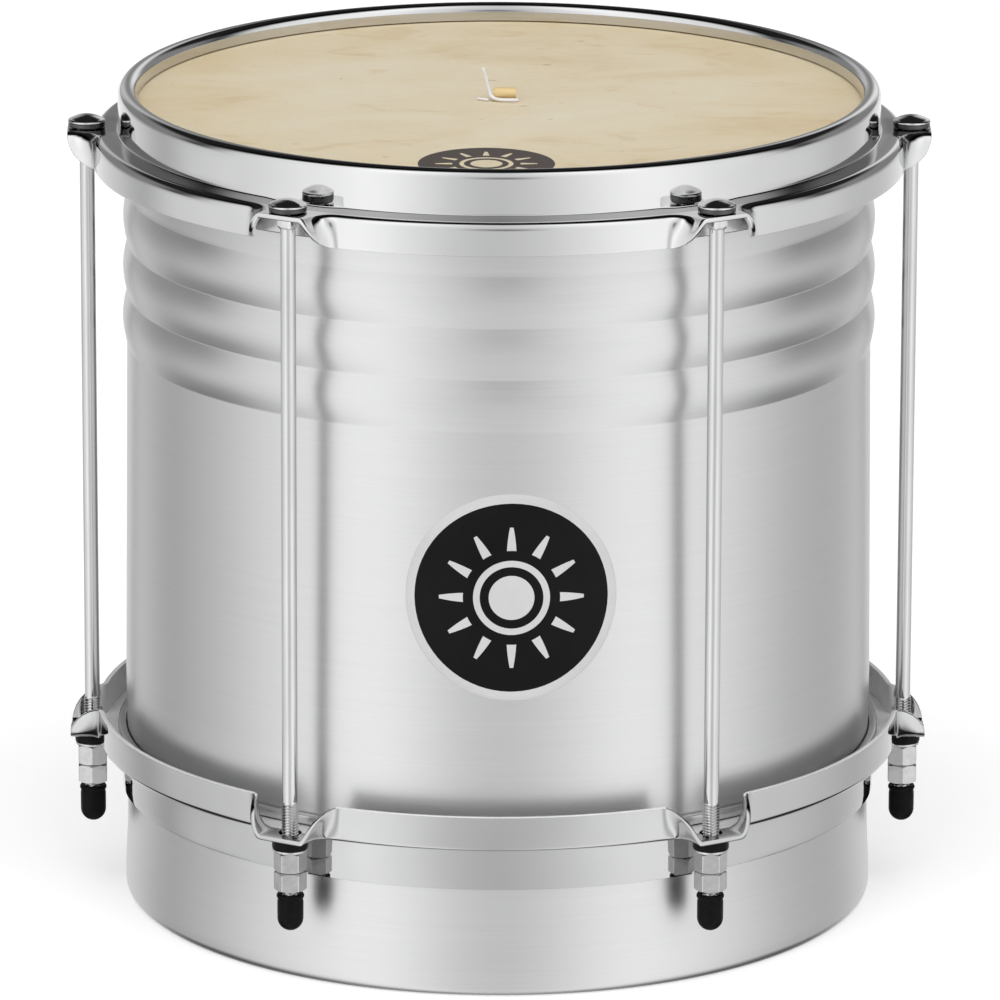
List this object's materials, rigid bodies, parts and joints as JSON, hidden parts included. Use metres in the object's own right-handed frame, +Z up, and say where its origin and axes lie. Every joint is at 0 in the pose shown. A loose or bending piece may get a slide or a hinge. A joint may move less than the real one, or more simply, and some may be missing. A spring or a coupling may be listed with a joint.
{
  "type": "cuica",
  "caption": "Open-bottomed metal friction drum: natural skin under a chromed counter hoop, tension rods to a lower hoop, and a bamboo friction stick hanging inside from the skin.",
  "frame": {"origin": "centre of the circle on which the shell's open lower end stands, on the floor", "axes": "+Z up along the drum's axis to the skin; the badge faces -Y; the first lug is on +X and the others follow every 60 degrees"},
  "size_m": [0.2964, 0.2776, 0.2912],
  "materials": {
    "brushed_aluminium": "brushed round the shell, satin",
    "chrome": "polished chrome plate",
    "plated_steel": "bright plated steel",
    "ring_steel": "plain plated steel ring",
    "natural_skin": "scraped natural hide, slightly translucent, matt",
    "print_ink": "matt printed ink",
    "badge_film": "printed film with a silver rim",
    "black_rubber": "smooth black rubber",
    "black_bush": "black moulded bush",
    "bamboo": "bare bamboo, smooth",
    "peg_wood": "bare pale wood",
    "thread": "white waxed thread"
  },
  "bodies": {
    "root": {"shell": "brushed_aluminium", "lower_hoop": "chrome", "bearing_ring": "ring_steel", "badge": "badge_film", "bush_1": "black_bush", "bush_2": "black_bush", "bush_3": "black_bush", "bush_4": "black_bush", "bush_5": "black_bush", "bush_6": "black_bush", "washer_1": "plated_steel", "washer_2": "plated_steel", "washer_3": "plated_steel", "washer_4": "plated_steel", "washer_5": "plated_steel", "washer_6": "plated_steel"},
    "head": {"top_hoop": "chrome", "flesh_hoop": "ring_steel", "drum_skin": "natural_skin", "skin_print": "print_ink", "tension_rod_1": "plated_steel", "tension_rod_2": "plated_steel", "tension_rod_3": "plated_steel", "tension_rod_4": "plated_steel", "tension_rod_5": "plated_steel", "tension_rod_6": "plated_steel", "tie_peg": "peg_wood", "tie_thread": "thread", "thread_tail": "thread"},
    "nuts_1": {"tension_nut_1": "plated_steel", "lock_nut_1": "plated_steel"},
    "nuts_2": {"tension_nut_2": "plated_steel", "lock_nut_2": "plated_steel"},
    "nuts_3": {"tension_nut_3": "plated_steel", "lock_nut_3": "plated_steel"},
    "nuts_4": {"tension_nut_4": "plated_steel", "lock_nut_4": "plated_steel"},
    "nuts_5": {"tension_nut_5": "plated_steel", "lock_nut_5": "plated_steel"},
    "nuts_6": {"tension_nut_6": "plated_steel", "lock_nut_6": "plated_steel"},
    "cap_1": {"rod_cap_1": "black_rubber"},
    "cap_2": {"rod_cap_2": "black_rubber"},
    "cap_3": {"rod_cap_3": "black_rubber"},
    "cap_4": {"rod_cap_4": "black_rubber"},
    "cap_5": {"rod_cap_5": "black_rubber"},
    "cap_6": {"rod_cap_6": "black_rubber"},
    "tie": {"tie_loop": "thread"},
    "stick": {"friction_stick": "bamboo", "stick_binding": "thread"}
  },
  "joints": [
    {"name": "head_lift", "type": "slide", "parent": "root", "child": "head", "axis": [0, 0, 1], "range_m": [0, 0.006]},
    {"name": "nuts_turn_1", "type": "hinge", "parent": "root", "child": "nuts_1", "pos_m": [0.1412, 0, 0.043], "axis": [0, 0, 1], "range_deg": [-2162, 0]},
    {"name": "nuts_turn_2", "type": "hinge", "parent": "root", "child": "nuts_2", "pos_m": [0.0706, 0.12228, 0.043], "axis": [0, 0, 1], "range_deg": [-2162, 0]},
    {"name": "nuts_turn_3", "type": "hinge", "parent": "root", "child": "nuts_3", "pos_m": [-0.0706, 0.12228, 0.043], "axis": [0, 0, 1], "range_deg": [-2162, 0]},
    {"name": "nuts_turn_4", "type": "hinge", "parent": "root", "child": "nuts_4", "pos_m": [-0.1412, 0, 0.043], "axis": [0, 0, 1], "range_deg": [-2162, 0]},
    {"name": "nuts_turn_5", "type": "hinge", "parent": "root", "child": "nuts_5", "pos_m": [-0.0706, -0.12228, 0.043], "axis": [0, 0, 1], "range_deg": [-2162, 0]},
    {"name": "nuts_turn_6", "type": "hinge", "parent": "root", "child": "nuts_6", "pos_m": [0.0706, -0.12228, 0.043], "axis": [0, 0, 1], "range_deg": [-2162, 0]},
    {"name": "cap_slide_1", "type": "slide", "parent": "head", "child": "cap_1", "axis": [0, 0, 1], "range_m": [-0.0062, 0]},
    {"name": "cap_slide_2", "type": "slide", "parent": "head", "child": "cap_2", "axis": [0, 0, 1], "range_m": [-0.0062, 0]},
    {"name": "cap_slide_3", "type": "slide", "parent": "head", "child": "cap_3", "axis": [0, 0, 1], "range_m": [-0.0062, 0]},
    {"name": "cap_slide_4", "type": "slide", "parent": "head", "child": "cap_4", "axis": [0, 0, 1], "range_m": [-0.0062, 0]},
    {"name": "cap_slide_5", "type": "slide", "parent": "head", "child": "cap_5", "axis": [0, 0, 1], "range_m": [-0.0062, 0]},
    {"name": "cap_slide_6", "type": "slide", "parent": "head", "child": "cap_6", "axis": [0, 0, 1], "range_m": [-0.0062, 0]},
    {"name": "stick_rock_x", "type": "hinge", "parent": "head", "child": "tie", "pos_m": [0, 0, 0.277], "axis": [1, 0, 0], "range_deg": [-8, 8]},
    {"name": "stick_rock_y", "type": "hinge", "parent": "tie", "child": "stick", "pos_m": [0, 0, 0.277], "axis": [0, 1, 0], "range_deg": [-8, 8]}
  ],
  "couplings": [
    {"joint": "nuts_turn_1", "follows": "head_lift", "rad_per_m": -6283.2},
    {"joint": "nuts_turn_2", "follows": "head_lift", "rad_per_m": -6283.2},
    {"joint": "nuts_turn_3", "follows": "head_lift", "rad_per_m": -6283.2},
    {"joint": "nuts_turn_4", "follows": "head_lift", "rad_per_m": -6283.2},
    {"joint": "nuts_turn_5", "follows": "head_lift", "rad_per_m": -6283.2},
    {"joint": "nuts_turn_6", "follows": "head_lift", "rad_per_m": -6283.2},
    {"joint": "cap_slide_1", "follows": "head_lift", "ratio": -1},
    {"joint": "cap_slide_2", "follows": "head_lift", "ratio": -1},
    {"joint": "cap_slide_3", "follows": "head_lift", "ratio": -1},
    {"joint": "cap_slide_4", "follows": "head_lift", "ratio": -1},
    {"joint": "cap_slide_5", "follows": "head_lift", "ratio": -1},
    {"joint": "cap_slide_6", "follows": "head_lift", "ratio": -1}
  ]
}
